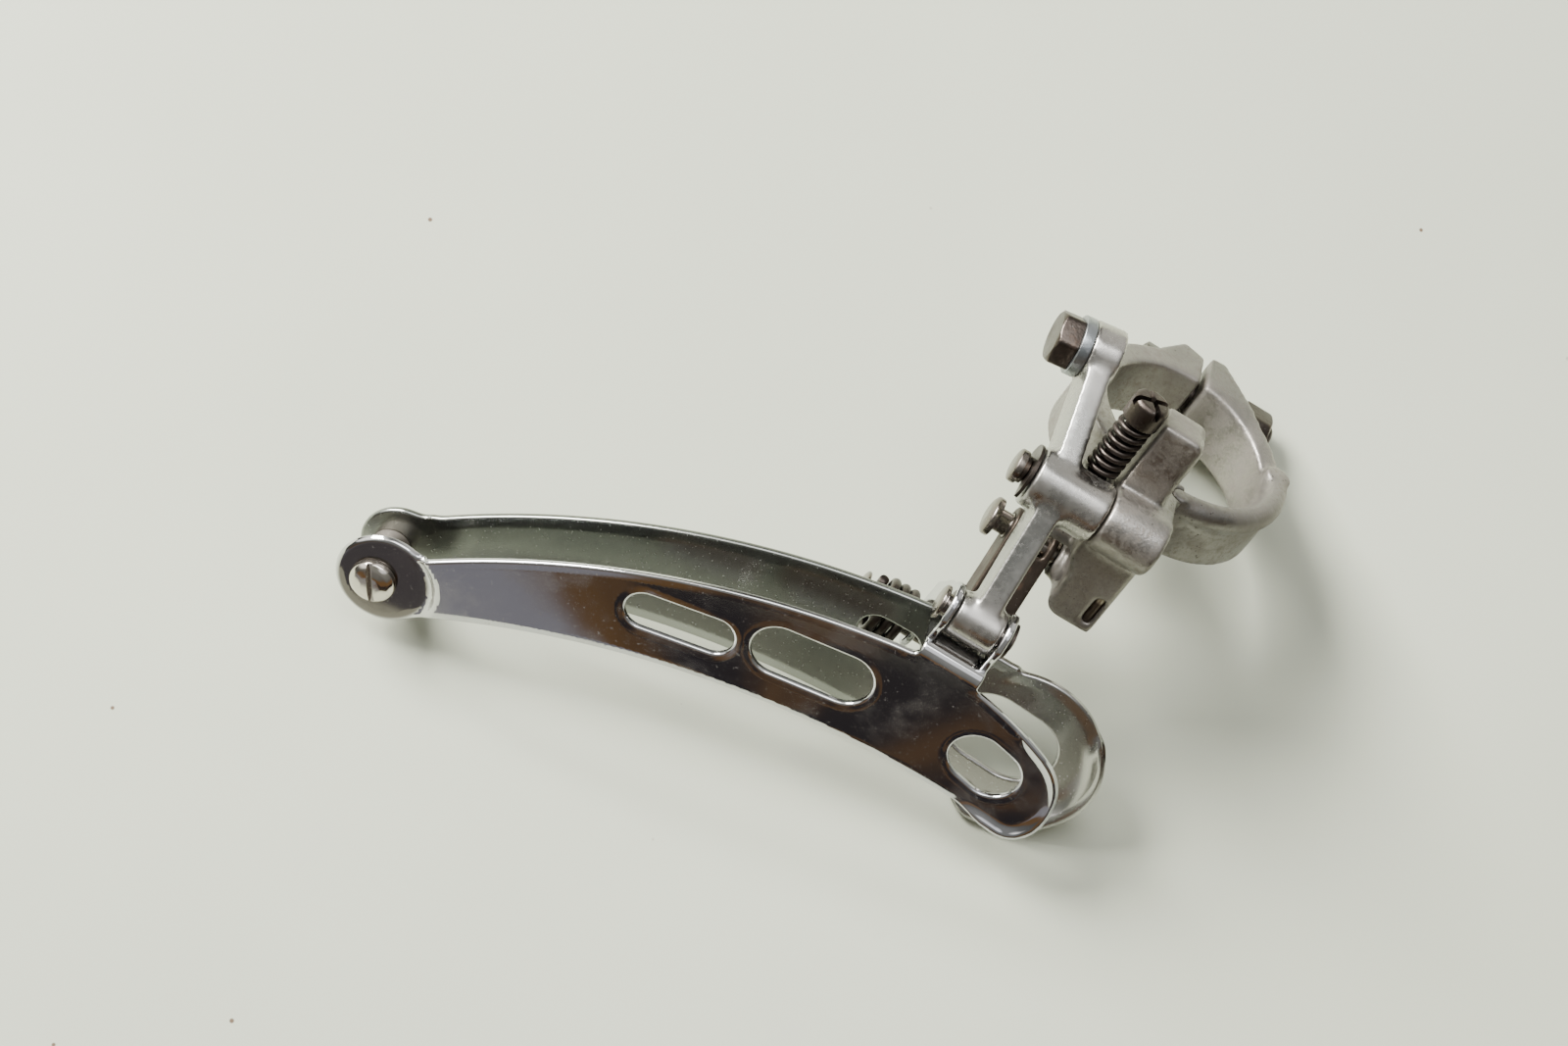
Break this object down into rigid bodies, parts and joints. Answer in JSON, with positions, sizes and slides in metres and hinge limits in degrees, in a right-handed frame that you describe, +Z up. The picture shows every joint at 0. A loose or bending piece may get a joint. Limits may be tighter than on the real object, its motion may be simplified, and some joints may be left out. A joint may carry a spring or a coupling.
{
  "type": "front derailleur",
  "caption": "Clamp-on front derailleur: a curved two-plate chromed chain cage hangs from a sprung alloy lever and link beside a split seat tube clamp.",
  "frame": {"origin": "centre of the seat tube clamp's bore, halfway up the clamp", "axes": "+Z up along the seat tube, +X towards the front of the bicycle, +Y towards the frame; the chain cage hangs on the -Y side"},
  "size_m": [0.1185, 0.0703, 0.0902],
  "materials": {
    "cast_alloy": "matte, lightly oxidised casting",
    "polished_alloy": "worn polish",
    "chromed_sheet": "mirror chrome outside, satin inside",
    "dark_steel": "dark oxidised steel",
    "spring_steel": "oiled spring steel",
    "bright_pin": "polished steel",
    "zinc_washer": "zinc plated",
    "brown_steel": "browned steel",
    "spacer_steel": "dull turned steel",
    "nickel_screw": "worn nickel plate"
  },
  "bodies": {
    "clamp": {"clamp_body": "cast_alloy", "clamp_front_half": "cast_alloy", "clamp_bolt": "dark_steel", "clamp_washers": "dark_steel", "clamp_nut": "dark_steel", "upper_pivot_pin": "bright_pin", "upper_pivot_clip": "dark_steel", "link_pivot_pin": "bright_pin", "inner_limit_screw": "dark_steel"},
    "lever": {"lever": "polished_alloy", "cable_bolt": "dark_steel", "cable_washer": "zinc_washer", "outer_limit_screw": "dark_steel", "outer_limit_spring": "spring_steel"},
    "inner_link": {"inner_link": "brown_steel", "return_spring": "spring_steel"},
    "cage": {"cage_outer_plate": "chromed_sheet", "cage_inner_plate": "chromed_sheet", "cage_pivot_pin": "bright_pin", "cage_pivot_clip": "dark_steel", "cage_link_pin": "bright_pin", "cage_link_clip": "dark_steel", "tail_spacer": "spacer_steel", "tail_screw": "nickel_screw"}
  },
  "joints": [
    {"name": "lever_pivot", "type": "hinge", "parent": "clamp", "child": "lever", "pos_m": [-0.015, -0.027, 0.0014], "axis": [-1, 0, 0], "range_deg": [0, 24], "stiffness_Nm_per_rad": 0.3, "springref_deg": -28.65},
    {"name": "link_pivot", "type": "hinge", "parent": "clamp", "child": "inner_link", "pos_m": [-0.014, -0.0193, -0.0134], "axis": [-1, 0, 0], "range_deg": [0, 28]},
    {"name": "cage_pivot", "type": "hinge", "parent": "lever", "child": "cage", "pos_m": [-0.017, -0.0394, -0.0174], "axis": [-1, 0, 0], "range_deg": [-21.5, 0]}
  ],
  "couplings": [
    {"joint": "link_pivot", "follows": "lever_pivot", "ratio": 1.1252},
    {"joint": "cage_pivot", "follows": "lever_pivot", "ratio": -0.8534}
  ]
}
